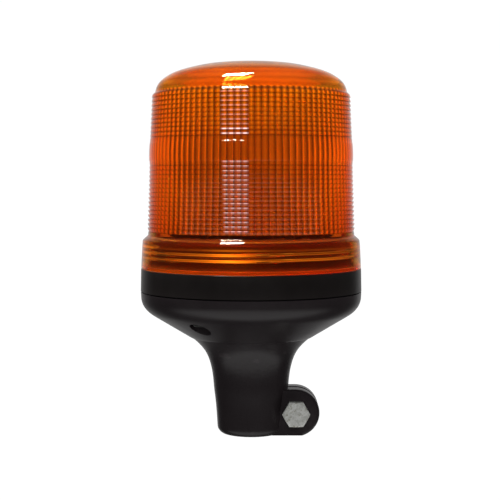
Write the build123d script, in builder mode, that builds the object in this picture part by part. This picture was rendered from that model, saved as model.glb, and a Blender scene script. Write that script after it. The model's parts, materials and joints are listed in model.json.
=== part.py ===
from build123d import *
import math
import os

# Amber warning beacon on a flexible one-bolt pole mount.
# Millimetres, +Z up. Origin: centre of the pole socket's mouth.
# Front is -Y, the clamp ears point to +X.

os.makedirs("parts", exist_ok=True)

# ---------------- driving dimensions ----------------
# pole socket and clamp
pole_radius = 12.5
pole_depth = 34.0
slot_width = 3.5              # split between the clamp ears
ear_x, ear_z = 24.0, 12.0     # clamp bolt axis
ear_radius, ear_half = 12.7, 10.5
bolt_radius, bolt_hole_radius = 3.97, 4.2
hex_flats = 13.0
bolt_head_height, clamp_washer_height, nut_height = 5.3, 1.6, 6.5

# base and lens levels
seam_z = 77.0                 # rubber to base joint line
floor_top = 80.0
rim_z = 89.5                  # lens rim on the base band
lens_top = 199.7
band_radius_low, band_radius_top = 59.45, 59.2
upstand_radius, upstand_inner, upstand_top = 54.2, 51.5, 104.0

# lens thread
thread_pitch = 3.0
thread_start_z = 92.6
male_turns, female_turns = 3.0, 2.6
male_crest = 55.2
female_wall, female_crest = 55.6, 54.6
prism_pitch = 2.33

# screws through the mount into the base, and posts under the chassis plate
flange_circle = 45.5
flange_angles = [235, 355, 115]
post_circle = 42.0
post_angles = [30, 120, 230, 300]

# chassis plate and the parts fixed to it
plate_z, plate_thickness = 86.0, 1.5
plate_top = plate_z + plate_thickness
spindle_radius, spindle_bore = 8.0, 6.2
rivet_circle = 11.2

# gears and motor
gear_teeth, pinion_teeth, gear_module = 51, 15, 1.0
gear_z = 92.0
gear_height, pinion_height = 5.0, 4.2
gear_distance = (gear_teeth + pinion_teeth) * gear_module / 2 + 0.05
motor_angle = 175.0
motor_x = gear_distance * math.cos(math.radians(motor_angle))
motor_y = gear_distance * math.sin(math.radians(motor_angle))
motor_place = (motor_x, motor_y, 0)
motor_screw_offsets = [(0.7, 8.0), (-0.7, -8.0)]    # x, y from the motor axis
motor_screw_places = [(motor_x + dx, motor_y + dy) for dx, dy in motor_screw_offsets]

# rotor
gear_screw_circle = 20.5
reflector_screw_x = 20.0
focus_z, focal_length = 147.0, 18.0
reflector_width, reflector_height = 63.0, 72.0
bowl_thickness = 1.7          # measured along the bowl's axis

# lamp and wiring
lamp_pin_x = 2.6
earth_strip_x, earth_strip_z = -13.05, 25.4
terminal_x, terminal_y = 21.0, -13.5
terminal_screw_ys = (-10.8, -16.2)
breather_place = (8, 34)

BOTTOM = (Align.CENTER, Align.CENTER, Align.MIN)


# ---------------- helpers ----------------
def save(part, name, position=None):
    """Label a piece, move it if asked, and write its STEP file."""
    part.label = name
    if position is not None:
        part.position = position
    export_step(part, f"parts/{name}.step")


def on_circle(radius, angles, z=0.0):
    """Points at the given angles (degrees) on a circle about the Z axis."""
    return [
        (radius * math.cos(math.radians(a)), radius * math.sin(math.radians(a)), z)
        for a in angles
    ]


def at_plus_minus(x, z):
    """A pair of points at +x and -x, in the plane y = 0."""
    return [(x, 0, z), (-x, 0, z)]


def rods(radius, height, places, mode=Mode.ADD):
    """Upright cylinders in the open part, each standing on one of the places."""
    with Locations(*places):
        Cylinder(radius, height, align=BOTTOM, mode=mode)


def bores(radius, height, places):
    """Upright cylindrical cuts in the open part, each rising from one of the places."""
    rods(radius, height, places, mode=Mode.SUBTRACT)


def turned(*outline):
    """Solid of revolution about Z from a closed (radius, z) outline."""
    with BuildPart() as body:
        with BuildSketch(Plane.XZ):
            with BuildLine():
                Polyline(*outline, close=True)
            make_face()
        revolve(axis=Axis.Z)
    return body.part


def ring(outer_radius, inner_radius, z, height):
    """Flat-ended ring about Z, standing on height z."""
    with BuildPart() as body:
        with BuildSketch(Plane.XY.offset(z)):
            Circle(outer_radius)
            Circle(inner_radius, mode=Mode.SUBTRACT)
        extrude(amount=height)
    return body.part


def wire(points, start_direction, end_direction):
    """Round wire swept along a spline."""
    with BuildPart() as body:
        with BuildLine() as path:
            Spline(*points, tangents=[start_direction, end_direction])
        with BuildSketch(Plane(origin=path.line @ 0, z_dir=path.line % 0)):
            Circle(0.9)
        sweep()
    return body.part


def lamp_lead(x, bends, end_direction):
    """Round wire that drops straight from the lamp socket, then follows a spline."""
    top = (x, 0, 128.6)
    straight_end = (x, 0, 92)
    with BuildPart() as body:
        with BuildLine():
            Line(top, straight_end)
            Spline(straight_end, *bends, tangents=[(0, 0, -1), end_direction])
        with BuildSketch(Plane(origin=top, z_dir=(0, 0, -1))):
            Circle(0.8)
        sweep()
    return body.part


def thread_profile(root, crest):
    """Thread section: radial offsets from the threaded wall against height."""
    return [(root, -0.75), (0.0, -0.75), (crest, -0.35), (crest, 0.35), (0.0, 0.75), (root, 0.75)]


def gear_outline(teeth, module, phase):
    """Outline of an involute spur gear, tooth 0 centred on angle phase (degrees)."""
    backlash = 0.16
    pitch_radius = teeth * module / 2
    base_radius = pitch_radius * math.cos(math.radians(20.0))    # 20 degree pressure angle
    tip_radius = pitch_radius + 0.8 * module
    root_radius = pitch_radius - 1.15 * module

    def involute(radius):
        if radius <= base_radius:
            return 0.0
        angle = math.acos(base_radius / radius)
        return math.tan(angle) - angle

    # one flank, root to tip: (radius, half angle of the tooth at that radius)
    half_at_pitch = (math.pi * module / 2 - backlash) / 2 / pitch_radius
    flank = [
        (radius, half_at_pitch + involute(pitch_radius) - involute(radius))
        for radius in (max(base_radius, root_radius + 0.1), pitch_radius, tip_radius)
    ]
    flank.insert(0, (root_radius, flank[0][1] + 0.02))
    tooth = [(radius, -half) for radius, half in flank] + flank[::-1]

    points = []
    for i in range(teeth):
        centre = math.radians(phase) + 2 * math.pi * i / teeth
        for radius, offset in tooth:
            angle = centre + offset
            points.append((radius * math.cos(angle), radius * math.sin(angle)))
    return points


# ---------------- rubber mount ----------------
# hollow inside the mount, with columns left standing for the flange screws
cavity_blank = turned(
    (0, 34), (13.5, 34), (13.5, 42.5), (16, 46), (22, 51), (28, 54.6), (34, 58.2),
    (50, 67.5), (54.6, 72), (55.0, 76), (53.3, 78), (53.3, 82), (0, 82),
)
with BuildPart() as mount_cavity:
    add(cavity_blank)
    bores(7.5, 9.5, on_circle(flange_circle, flange_angles, 60.0))

# clamp ears, still joined; flat underneath at z = 0
with BuildPart() as ears:
    with BuildSketch(Plane.XZ):
        with Locations((ear_x, ear_z)):
            Circle(ear_radius)
        with Locations((ear_x / 2 + 5, ear_z + 0.35)):
            Rectangle(ear_x - 10, 2 * ear_z + 0.7)
        with Locations((20, -10)):
            Rectangle(60, 20, mode=Mode.SUBTRACT)
    extrude(amount=ear_half, both=True)
    fillet(
        ears.edges().filter_by(GeomType.CIRCLE).filter_by(lambda e: e.radius > 12),
        radius=1.6,
    )

with BuildPart() as flex_mount:
    # outer form, (radius, z), from the mouth upwards
    with BuildSketch(Plane.XZ):
        with BuildLine():
            Line((0, 0), (14.6, 0))
            Spline((14.6, 0), (16.6, 0.75), (17.9, 2.4), (18.3, 4.6), tangents=[(1, 0), (0.06, 1)])
            Spline(
                (18.3, 4.6), (19.2, 16.9), (20.2, 25.5), (20.6, 30.0), (21.3, 34.7),
                (22.2, 38.4), (24.6, 44.2), (27.6, 48.1), (32.4, 52.4),
                tangents=[(0.06, 1), (0.80, 0.60)],
            )
            Polyline((32.4, 52.4), (33.0, 52.4), (52.0, 63.9))
            Spline(
                (52.0, 63.9), (55.4, 66.3), (57.9, 69.3), (59.2, 73.0),
                tangents=[(0.86, 0.52), (0.2, 1)],
            )
            # rim, with a raised tongue that enters the base
            Polyline(
                (59.2, 73.0), (59.4, seam_z - 0.4), (59.0, seam_z), (56.0, seam_z),
                (56.0, seam_z + 3.2), (53.5, seam_z + 3.2), (53.5, seam_z), (0, seam_z), (0, 0),
            )
        make_face()
    revolve(axis=Axis.Z)
    add(ears.part)
    add(mount_cavity.part, mode=Mode.SUBTRACT)
    # pole bore
    with BuildSketch(Plane.XZ):
        with BuildLine():
            Polyline(
                (0, -1), (pole_radius, -1), (pole_radius, pole_depth + 0.1),
                (0, pole_depth + 0.1), close=True,
            )
        make_face()
    revolve(axis=Axis.Z, mode=Mode.SUBTRACT)
    # clamp split
    with Locations((pole_radius - 1 + 15, 0, 14)):
        Box(30, slot_width, 32, mode=Mode.SUBTRACT)
    # bolt hole through both ears
    with Locations(Location((ear_x, 0, ear_z), (90, 0, 0))):
        Cylinder(bolt_hole_radius, 40, mode=Mode.SUBTRACT)
    # flange screw holes, counterbored from below
    bores(5.5, 26.0, on_circle(flange_circle, flange_angles, 40.0))
    bores(2.4, 40.0, on_circle(flange_circle, flange_angles, 40.0))
    # earth strip pocket in the bore wall
    with Locations((-12.75, 0, earth_strip_z)):
        Box(1.5, 6.2, 42.2, mode=Mode.SUBTRACT)
save(flex_mount.part, "flex_mount")

# ---------------- clamp hardware ----------------
# sections on this plane are (y, distance from the bolt axis)
bolt_plane = Plane(origin=(ear_x, 0, ear_z), x_dir=(0, 1, 0), z_dir=(1, 0, 0))
bolt_axis = Axis((ear_x, 0, ear_z), (0, 1, 0))
head_front = -ear_half - bolt_head_height
nut_front = ear_half + clamp_washer_height
nut_back = nut_front + nut_height

# the hexagon's front corners are chamfered by the intersection
with BuildPart() as clamp_bolt:
    with BuildSketch(Plane.XZ.offset(ear_half)):
        with Locations((ear_x, ear_z)):
            RegularPolygon(hex_flats / 2, 6, major_radius=False)
    extrude(amount=bolt_head_height)
    with BuildSketch(bolt_plane):
        with BuildLine():
            Polyline(
                (head_front, 0), (head_front, 6.1), (head_front + 1.0, 7.7),
                (-ear_half, 7.7), (-ear_half, 0), close=True,
            )
        make_face()
    revolve(axis=bolt_axis, mode=Mode.INTERSECT)
    # shank
    with BuildSketch(bolt_plane):
        with BuildLine():
            Polyline(
                (-ear_half, 0), (-ear_half, bolt_radius), (19.7, bolt_radius),
                (20.5, bolt_radius - 0.8), (20.5, 0), close=True,
            )
        make_face()
    revolve(axis=bolt_axis)
save(clamp_bolt.part, "clamp_bolt")

with BuildPart() as clamp_washer:
    with BuildSketch(Plane.XZ.offset(-ear_half)):
        with Locations((ear_x, ear_z)):
            Circle(8.0)
            Circle(4.2, mode=Mode.SUBTRACT)
    extrude(amount=-clamp_washer_height)
    back_circles = clamp_washer.edges().filter_by(GeomType.CIRCLE).group_by(Axis.Y)[-1]
    fillet(back_circles.sort_by(SortBy.RADIUS)[-1], radius=0.3)
save(clamp_washer.part, "clamp_washer")

with BuildPart() as clamp_nut:
    with BuildSketch(Plane.XZ.offset(-nut_front)):
        with Locations((ear_x, ear_z)):
            RegularPolygon(hex_flats / 2, 6, major_radius=False)
    extrude(amount=-nut_height)
    with BuildSketch(bolt_plane):
        with BuildLine():
            Polyline(
                (nut_front, 0), (nut_front, 6.6), (nut_front + 0.5, 7.7),
                (nut_back - 1.0, 7.7), (nut_back, 6.1), (nut_back, 0), close=True,
            )
        make_face()
    revolve(axis=bolt_axis, mode=Mode.INTERSECT)
    with Locations(Location((ear_x, 15, ear_z), (90, 0, 0))):
        Cylinder(4.02, 20, mode=Mode.SUBTRACT)
save(clamp_nut.part, "clamp_nut")

# ---------------- pole contacts ----------------
contact_blank = turned(
    (0, pole_depth + 0.1), (12.6, pole_depth + 0.1), (13.4, 34.9), (13.4, 42.0),
    (12.4, 42.0), (12.4, 43.0), (0, 43.0),
)
with BuildPart() as contact_plug:
    add(contact_blank)
    # stepped bore for the sprung centre contact
    bores(2.05, 12, [(0, 0, 33)])
    bores(3.6, 5.4, [(0, 0, 36)])
    # notch for the earth strip
    with Locations((earth_strip_x, 0, 38.5)):
        Box(1.3, 6.4, 12, mode=Mode.SUBTRACT)
save(contact_plug.part, "contact_plug")

contact_pin = turned(
    (0, 34.3), (1.4, 34.3), (2.0, 34.8), (2.0, 36.1), (3.4, 36.1),
    (3.4, 37.1), (1.2, 37.1), (1.2, 43.6), (0, 43.6),
)
save(contact_pin, "contact_pin")

with BuildPart() as contact_spring:
    with BuildLine() as spring_path:
        Helix(pitch=1.05, height=3.6, radius=2.4, center=(0, 0, 37.4))
    with BuildSketch(Plane(origin=spring_path.line @ 0, z_dir=spring_path.line % 0)):
        Circle(0.22)
    sweep(is_frenet=True)
save(contact_spring.part, "contact_spring")

with BuildPart() as earth_strip:
    with Locations((earth_strip_x, 0, earth_strip_z)):
        Box(0.7, 6.0, 40.8)
    fillet(earth_strip.edges().filter_by(Axis.X), radius=1.2)
save(earth_strip.part, "earth_strip")

# both wires run from the contacts up to the terminal block; points are (x, y, z)
feed_points = [
    (1.8, 2.8, 44.2), (2.0, 2.8, 52), (2.8, 0.4, 64), (4.0, -3.2, 74),
    (5.0, -5.0, 78), (6.6, -7.4, 80.8), (9.5, -10.8, 81.2), (15.2, -13.2, 81.2),
]
save(wire(feed_points, (0.1, 0.2, 1), (1, 0, 0)), "feed_wire")

earth_points = [
    (-11.4, 0, 44.6), (-9.0, -0.6, 52), (-4.0, -2.4, 64), (0.6, -5.4, 74),
    (1.6, -6.6, 78), (2.6, -9.2, 80.8), (6.5, -14.8, 81.3), (15.2, -17.4, 81.3),
]
save(wire(earth_points, (0.2, 0, 1), (1, 0, 0)), "earth_wire")

# ---------------- base housing ----------------
base_bottom = seam_z + 0.02
# floor, groove for the mount's tongue, outer band, threaded upstand
base_blank = turned(
    (0, base_bottom), (53.1, base_bottom), (53.1, 86), (56.3, 86), (56.3, base_bottom),
    (59.1, base_bottom), (band_radius_low, seam_z + 0.4),
    (band_radius_top + 0.02, rim_z - 0.35), (58.9, rim_z), (upstand_radius, rim_z),
    (upstand_radius, upstand_top - 0.6), (upstand_radius - 0.6, upstand_top),
    (upstand_inner, upstand_top), (upstand_inner, floor_top), (0, floor_top),
)
with BuildPart() as base_housing:
    add(base_blank)
    # bosses for the flange screws, below the floor
    rods(5.5, 8.0, on_circle(flange_circle, flange_angles, 69.52))
    # posts for the chassis plate
    rods(4.0, plate_z - floor_top + 0.5, on_circle(post_circle, post_angles, floor_top - 0.5))
    # screw holes in the bosses and posts
    bores(2.0, 9.6, on_circle(flange_circle, flange_angles, 69.0))
    bores(1.5, 6.0, on_circle(post_circle, post_angles, 81.0))
    # cable hole, motor well, breather hole
    bores(11.0, 8, [(0, 0, 75)])
    bores(11.8, 8, [(motor_x, motor_y, 75)])
    bores(2.45, 8, [(*breather_place, 75)])
    # single-start external thread for the lens
    with BuildLine() as male_path:
        Helix(
            pitch=thread_pitch, height=thread_pitch * male_turns,
            radius=upstand_radius, center=(0, 0, thread_start_z),
        )
    with BuildSketch(
        Plane(origin=male_path.line @ 0, x_dir=(1, 0, 0), z_dir=male_path.line % 0)
    ):
        with BuildLine():
            Polyline(*thread_profile(-0.4, male_crest - upstand_radius), close=True)
        make_face()
    sweep(is_frenet=True)
save(base_housing.part, "base_housing")

breather_plug = turned(
    (0.6, 74.6), (2.0, 74.6), (2.4, 75.2), (2.4, floor_top), (3.8, floor_top),
    (3.6, floor_top + 1.2), (0.6, floor_top + 1.2),
)
save(breather_plug, "breather_plug", (*breather_place, 0))

# one screw on the Z axis, head down, with a cross recess; then copied round
screw_blank = turned(
    (0, 61.8), (3.0, 61.8), (4.0, 62.7), (4.0, 64.9), (1.95, 64.9),
    (1.95, 76.6), (1.2, 77.4), (0, 77.4),
)
with BuildPart() as flange_screw:
    add(screw_blank)
    with Locations((0, 0, 62.5)):
        Box(4.6, 1.0, 1.6, mode=Mode.SUBTRACT)
        Box(1.0, 4.6, 1.6, mode=Mode.SUBTRACT)
with BuildPart() as flange_screws:
    with Locations(*on_circle(flange_circle, flange_angles)):
        add(flange_screw.part)
save(flange_screws.part, "flange_screws")

with BuildPart() as flange_washers:
    washer_places = on_circle(flange_circle, flange_angles, 64.9)
    rods(5.0, 1.08, washer_places)
    bores(2.2, 1.08, washer_places)
save(flange_washers.part, "flange_washers")

# ---------------- lens and its seal ----------------
# Prism rings above and below the smooth belt, (radius, z). Each has its thick edge
# towards the belt; they are shallow next to it and deeper away from it.
upper_prisms = []
for i in range(10):
    z = 159.4 + i * prism_pitch
    radius = 54.05 - i * 0.105
    depth = min(0.95, 0.5 + 0.1 * i)
    upper_prisms += [(radius, z), (radius - depth, z + prism_pitch - 0.12)]
upper_prisms.reverse()

lower_prisms = []
for i in range(16):
    z = 146.4 - i * prism_pitch
    radius = 54.62 + max(0.0, i - 3) * 0.065
    depth = min(0.9, 0.22 + 0.075 * i)
    lower_prisms += [(radius, z), (radius - depth, z - prism_pitch + 0.12)]

# outside of the dome, (radius, z), from the axis outwards
dome_outside = [
    (0, lens_top), (24.8, 198.2), (32.4, 196.6), (38.5, 194.9), (42.8, 193.2),
    (45.5, 191.6), (47.7, 190.0), (49.6, 188.0), (50.8, 185.6), (51.2, 183.9),
]
smooth_belt = [(54.2, 157.6), (54.5, 154.5), (54.65, 151.5), (54.7, 148.5)]
# outside of the skirt, downwards to the rim
skirt_outside = [
    (55.5, 109.2), (55.7, 107.3), (56.5, 106.2), (58.1, 104.7),
    (58.6, 101.4), (59.15, 90.1), (58.8, 89.55),
]
# inside, upwards from the rim to the axis
inner_wall = [
    (57.0, 89.55), (57.0, 91.25), (female_wall, 91.25), (female_wall, 104.3),
    (female_wall - 0.5, 104.8), (51.9, 105.6), (51.6, 108.6), (51.4, 112.0),
    (48.8, 178.0), (48.2, 181.0), (47.1, 183.8), (45.6, 186.2), (43.7, 188.2),
    (41.0, 190.1), (37.0, 191.9), (31.4, 193.5), (24.2, 195.1), (0, 196.6),
]
with BuildPart() as lens:
    with BuildSketch(Plane.XZ):
        with BuildLine():
            Spline(*dome_outside, tangents=[(1, 0), (0.05, -1)])
            Polyline(
                dome_outside[-1], (51.8, 183.1), *upper_prisms, *smooth_belt,
                *lower_prisms, *skirt_outside, *inner_wall, dome_outside[0],
            )
        make_face()
    revolve(axis=Axis.Z)
    # internal thread, half a pitch from the base's
    with BuildLine() as female_path:
        Helix(
            pitch=thread_pitch, height=thread_pitch * female_turns,
            radius=female_wall, center=(0, 0, thread_start_z + thread_pitch / 2),
        )
    with BuildSketch(
        Plane(origin=female_path.line @ 0, x_dir=(1, 0, 0), z_dir=female_path.line % 0)
    ):
        with BuildLine():
            Polyline(*thread_profile(0.5, female_crest - female_wall), close=True)
        make_face()
    sweep(is_frenet=True)
save(lens.part, "lens")

lens_seal = turned(
    (55.35, rim_z + 0.02), (56.9, rim_z + 0.02), (56.9, 90.8),
    (56.6, 91.15), (55.65, 91.15), (55.35, 90.8),
)
save(lens_seal, "lens_seal")

# ---------------- chassis ----------------
with BuildPart() as chassis_plate:
    with BuildSketch(Plane.XY.offset(plate_z)):
        Circle(49.5)
        Circle(spindle_radius + 0.1, mode=Mode.SUBTRACT)
        with Locations(*on_circle(post_circle, post_angles)):
            Circle(1.7, mode=Mode.SUBTRACT)
        # motor boss and motor screws
        with Locations((motor_x, motor_y)):
            Circle(4.0, mode=Mode.SUBTRACT)
        with Locations(*motor_screw_places):
            Circle(1.4, mode=Mode.SUBTRACT)
        # spindle rivets
        with PolarLocations(rivet_circle, 3, start_angle=60):
            Circle(1.4, mode=Mode.SUBTRACT)
        # two plain round holes
        with Locations((22, -24), (0, 40)):
            Circle(3.0, mode=Mode.SUBTRACT)
    extrude(amount=plate_thickness)
    fillet(
        chassis_plate.edges().filter_by(GeomType.CIRCLE).filter_by(lambda e: e.radius > 40),
        radius=0.4,
    )
save(chassis_plate.part, "chassis_plate")

with BuildPart() as chassis_screws:
    rods(2.8, 1.9, on_circle(post_circle, post_angles, plate_top))
    rods(1.45, 6.2, on_circle(post_circle, post_angles, 81.6))
    # cross recesses
    with Locations(*on_circle(post_circle, post_angles, plate_top + 1.5)):
        Box(3.4, 0.8, 1.2, mode=Mode.SUBTRACT)
        Box(0.8, 3.4, 1.2, mode=Mode.SUBTRACT)
save(chassis_screws.part, "chassis_screws")

# hollow post with a flange below the plate and a groove for the retaining ring
spindle_blank = turned(
    (spindle_bore, 84.0), (14.0, 84.0), (14.0, plate_z), (spindle_radius, plate_z),
    (spindle_radius, 109.2), (7.4, 109.2), (7.4, 110.4), (spindle_radius, 110.4),
    (spindle_radius, 127.5), (7.5, 128.0), (spindle_bore, 128.0),
)
with BuildPart() as spindle_post:
    add(spindle_blank)
    with PolarLocations(rivet_circle, 3, start_angle=60):
        bores(1.4, 4, [(0, 0, 83)])
save(spindle_post.part, "spindle_post")

with BuildPart() as post_rivets:
    with PolarLocations(rivet_circle, 3, start_angle=60):
        rods(2.3, 0.8, [(0, 0, 83.2)])
        rods(1.36, plate_top - 84.0, [(0, 0, 84.0)])
save(post_rivets.part, "post_rivets")

save(ring(9.9, spindle_radius + 0.05, plate_top, 1.0), "thrust_washer")

# open towards +X
with BuildPart() as retaining_ring:
    with BuildSketch(Plane.XY.offset(109.25)):
        Circle(10.2)
        Circle(7.45, mode=Mode.SUBTRACT)
        with Locations((9, 0)):
            Rectangle(8, 5, mode=Mode.SUBTRACT)
    extrude(amount=1.1)
save(retaining_ring.part, "retaining_ring")

# ---------------- motor, mostly drawn on the Z axis and then moved ----------------
motor_can = turned(
    (1.05, 84.6), (1.05, 87.2), (3.4, 87.2), (3.4, 85.0), (10.2, 85.0), (11.0, 84.2),
    (11.0, 69.0), (10.3, 69.0), (10.3, 83.6), (9.6, 84.3), (1.05, 84.3),
)
save(motor_can, "motor_can", motor_place)

motor_end_cap = turned(
    (0, 67.4), (3.0, 67.4), (3.6, 68.2), (11.0, 68.2), (11.0, 69.0), (10.25, 69.0),
    (10.25, 70.4), (1.05, 70.4), (1.05, 69.2), (0, 69.2),
)
save(motor_end_cap, "motor_end_cap", motor_place)

with BuildPart() as motor_magnets:
    with BuildSketch(Plane.XY.offset(72)):
        Circle(10.25)
        Circle(8.2, mode=Mode.SUBTRACT)
        Rectangle(30, 3.2, mode=Mode.SUBTRACT)
    extrude(amount=10.5)
save(motor_magnets.part, "motor_magnets", motor_place)

with BuildPart() as motor_gasket:
    with BuildSketch(Plane.XY.offset(85.0)):
        Circle(10.6)
        Circle(4.0, mode=Mode.SUBTRACT)
        with Locations(*motor_screw_offsets):
            Circle(1.4, mode=Mode.SUBTRACT)
    extrude(amount=1.0)
save(motor_gasket.part, "motor_gasket", motor_place)

with BuildPart() as motor_screws:
    rods(2.3, 1.5, [(x, y, plate_top) for x, y in motor_screw_places])
    rods(1.25, 2.6, [(x, y, 85.02) for x, y in motor_screw_places])
    with Locations(*[(x, y, plate_top + 1.3) for x, y in motor_screw_places]):
        Box(3.0, 0.7, 1.0, mode=Mode.SUBTRACT)
save(motor_screws.part, "motor_screws")

# shaft, slotted core, and a small collar below the core
with BuildPart() as motor_armature:
    rods(1.0, 26.5, [(0, 0, 70.0)])
    with BuildSketch(Plane.XY.offset(72.5)):
        Circle(7.8)
        with PolarLocations(7.0, 3):
            Rectangle(3.2, 1.2, mode=Mode.SUBTRACT)
    extrude(amount=9.0)
    rods(2.6, 1.8, [(0, 0, 70.8)])
save(motor_armature.part, "motor_armature", motor_place)

# a gap between teeth faces the drive gear at rest
pinion_phase = motor_angle + 180 + 180 / pinion_teeth
with BuildPart() as drive_pinion:
    with BuildSketch(Plane.XY.offset(gear_z)):
        with BuildLine():
            Polyline(*gear_outline(pinion_teeth, gear_module, pinion_phase), close=True)
        make_face()
        Circle(1.0, mode=Mode.SUBTRACT)
    extrude(amount=pinion_height)
save(drive_pinion.part, "drive_pinion", motor_place)

# ---------------- rotor ----------------
with BuildPart() as drive_gear:
    with BuildSketch(Plane.XY.offset(gear_z)):
        with BuildLine():
            Polyline(*gear_outline(gear_teeth, gear_module, motor_angle), close=True)
        make_face()
        Circle(12.02, mode=Mode.SUBTRACT)
        with PolarLocations(gear_screw_circle, 3, start_angle=90):
            Circle(1.35, mode=Mode.SUBTRACT)
        with PolarLocations(18.0, 6, start_angle=60):
            Circle(2.6, mode=Mode.SUBTRACT)
    extrude(amount=gear_height)
save(drive_gear.part, "drive_gear")

save(ring(9.6, spindle_radius + 0.05, 88.6, 20.4), "rotor_bush")

carrier_blank = turned(
    (9.62, 88.8), (12.0, 88.8), (12.0, 97.02), (32.0, 97.02), (32.0, 99.5),
    (13.5, 99.5), (12.4, 100.6), (12.0, 109.0), (9.62, 109.0),
)
with BuildPart() as reflector_carrier:
    add(carrier_blank)
    with PolarLocations(gear_screw_circle, 3, start_angle=90):
        bores(1.35, 5, [(0, 0, 96)])
    bores(1.35, 5, at_plus_minus(reflector_screw_x, 96))
save(reflector_carrier.part, "reflector_carrier")

with BuildPart() as gear_screws:
    with PolarLocations(gear_screw_circle, 3, start_angle=90):
        rods(2.3, 1.4, [(0, 0, gear_z - 1.4)])
        rods(1.3, 7.0, [(0, 0, gear_z)])
save(gear_screws.part, "gear_screws")


def bowl(shift):
    """Paraboloid about the Y line through the filament, filled on its open +Y side.

    The surface is moved by shift towards -Y.
    """
    # sections on this plane are (-y, distance from the bowl's axis)
    plane = Plane(origin=(0, 0, focus_z), x_dir=(0, -1, 0), z_dir=(-1, 0, 0))
    vertex = focal_length + shift
    curve = [(vertex - r * r / (4 * focal_length), r) for r in range(0, 61, 4)]
    with BuildPart() as body:
        with BuildSketch(plane):
            with BuildLine():
                Spline(*curve)
                Polyline(curve[-1], (-60, 60), (-60, 0), (vertex, 0))
            make_face()
        revolve(axis=Axis((0, 0, focus_z), (0, 1, 0)))
    return body.part


bowl_outside = bowl(bowl_thickness)
bowl_inside = bowl(0.0)
with BuildPart() as reflector:
    add(bowl_outside)
    # rounded rectangle outline, seen along Y
    with BuildSketch(Plane.XZ.offset(60)):
        with Locations((0, focus_z)):
            RectangleRounded(reflector_width, reflector_height, 6)
    extrude(amount=-130, mode=Mode.INTERSECT)
    # ribs and feet
    with Locations((25.5, 1.0, 110.5), (-25.5, 1.0, 110.5)):
        Box(4, 16, 22)
    with Locations((22.5, 0, 100.8), (-22.5, 0, 100.8)):
        Box(10, 14, 2.6)
    add(bowl_inside, mode=Mode.SUBTRACT)
    # clearance round the fixed lamp column
    bores(12.6, 41, [(0, 0, 95)])
    bores(1.35, 6, at_plus_minus(reflector_screw_x, 98))
save(reflector.part, "reflector")

with BuildPart() as reflector_screws:
    rods(2.4, 1.6, at_plus_minus(reflector_screw_x, 102.1))
    rods(1.3, 5.2, at_plus_minus(reflector_screw_x, 97.1))
    with Locations(*at_plus_minus(reflector_screw_x, 103.4)):
        Box(3.0, 0.7, 1.0, mode=Mode.SUBTRACT)
save(reflector_screws.part, "reflector_screws")

# ---------------- lamp ----------------
socket_blank = turned(
    (0, 124.0), (6.1, 124.0), (6.1, 128.05), (9.0, 128.05), (9.6, 128.8), (9.6, 136.2),
    (8.8, 137.0), (7.0, 137.0), (7.0, 135.2), (0, 135.2),
)
with BuildPart() as lamp_socket:
    add(socket_blank)
    bores(0.9, 20, at_plus_minus(lamp_pin_x, 120))
save(lamp_socket.part, "lamp_socket")

lamp_base_blank = turned(
    (0, 135.3), (6.7, 135.3), (6.7, 138.4), (6.3, 138.8), (6.3, 142.4),
    (5.55, 142.4), (5.55, 139.6), (0, 139.6),
)
with BuildPart() as lamp_base:
    add(lamp_base_blank)
    rods(0.85, 7.0, at_plus_minus(lamp_pin_x, 129.0))
save(lamp_base.part, "lamp_base")

# hollow glass: up the outside to the tip, then down the inside
with BuildPart() as lamp_bulb:
    with BuildSketch(Plane.XZ):
        with BuildLine():
            Polyline((4.5, 139.7), (5.4, 139.7), (5.4, 155.2))
            Spline(
                (5.4, 155.2), (4.7, 158.2), (2.6, 160.2), (0, 160.9),
                tangents=[(0, 1), (-1, 0)],
            )
            Line((0, 160.9), (0, 160.0))
            Spline(
                (0, 160.0), (2.2, 159.4), (3.9, 157.6), (4.5, 155.2),
                tangents=[(1, 0), (0, -1)],
            )
            Line((4.5, 155.2), (4.5, 139.7))
        make_face()
    revolve(axis=Axis.Z)
save(lamp_bulb.part, "lamp_bulb")

# two uprights and the filament between them, at the reflector's focus
with BuildPart() as lamp_filament:
    rods(0.35, 7.7, at_plus_minus(lamp_pin_x, 139.6))
    with Locations(Location((0, 0, focus_z), (0, 90, 0))):
        Cylinder(0.75, 5.6)
save(lamp_filament.part, "lamp_filament")

# bends of the lamp leads below their straight length, (x, y, z)
positive_bends = [(3.0, -0.5, 85.2), (5.0, -2.0, 82.7), (9.5, -5.2, 82.3), (15.2, -9.6, 82.4)]
save(lamp_lead(lamp_pin_x, positive_bends, (1, 0, 0)), "lamp_lead_pos")

negative_bends = [
    (-3.0, 0.6, 85.2), (-4.8, 2.6, 82.6), (-9.5, 8.0, 81.9),
    (-15.0, 12.5, 82.6), (-16.6, 13.4, 85.9),
]
save(lamp_lead(-lamp_pin_x, negative_bends, (0, 0, 1)), "lamp_lead_neg")

# ---------------- other electrics ----------------
with BuildPart() as terminal_block:
    with Locations((terminal_x, terminal_y, 82.75)):
        Box(14, 11, 5.3)
    fillet(terminal_block.edges().filter_by(Axis.Z), radius=0.8)
    # entries for the feed wire, earth wire and positive lamp lead
    with Locations((15.0, -13.2, 81.2), (15.0, -17.4, 81.3), (15.0, -9.6, 82.4)):
        Box(4.4, 2.4, 2.2, mode=Mode.SUBTRACT)
    bores(2.0, 4.6, [(terminal_x, y, 83.2) for y in terminal_screw_ys])
save(terminal_block.part, "terminal_block")

with BuildPart() as terminal_screws:
    rods(1.95, 1.9, [(terminal_x, y, 83.25) for y in terminal_screw_ys])
    with Locations(*[(terminal_x, y, 85.0) for y in terminal_screw_ys]):
        Box(4.2, 0.7, 1.0, mode=Mode.SUBTRACT)
save(terminal_screws.part, "terminal_screws")

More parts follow.
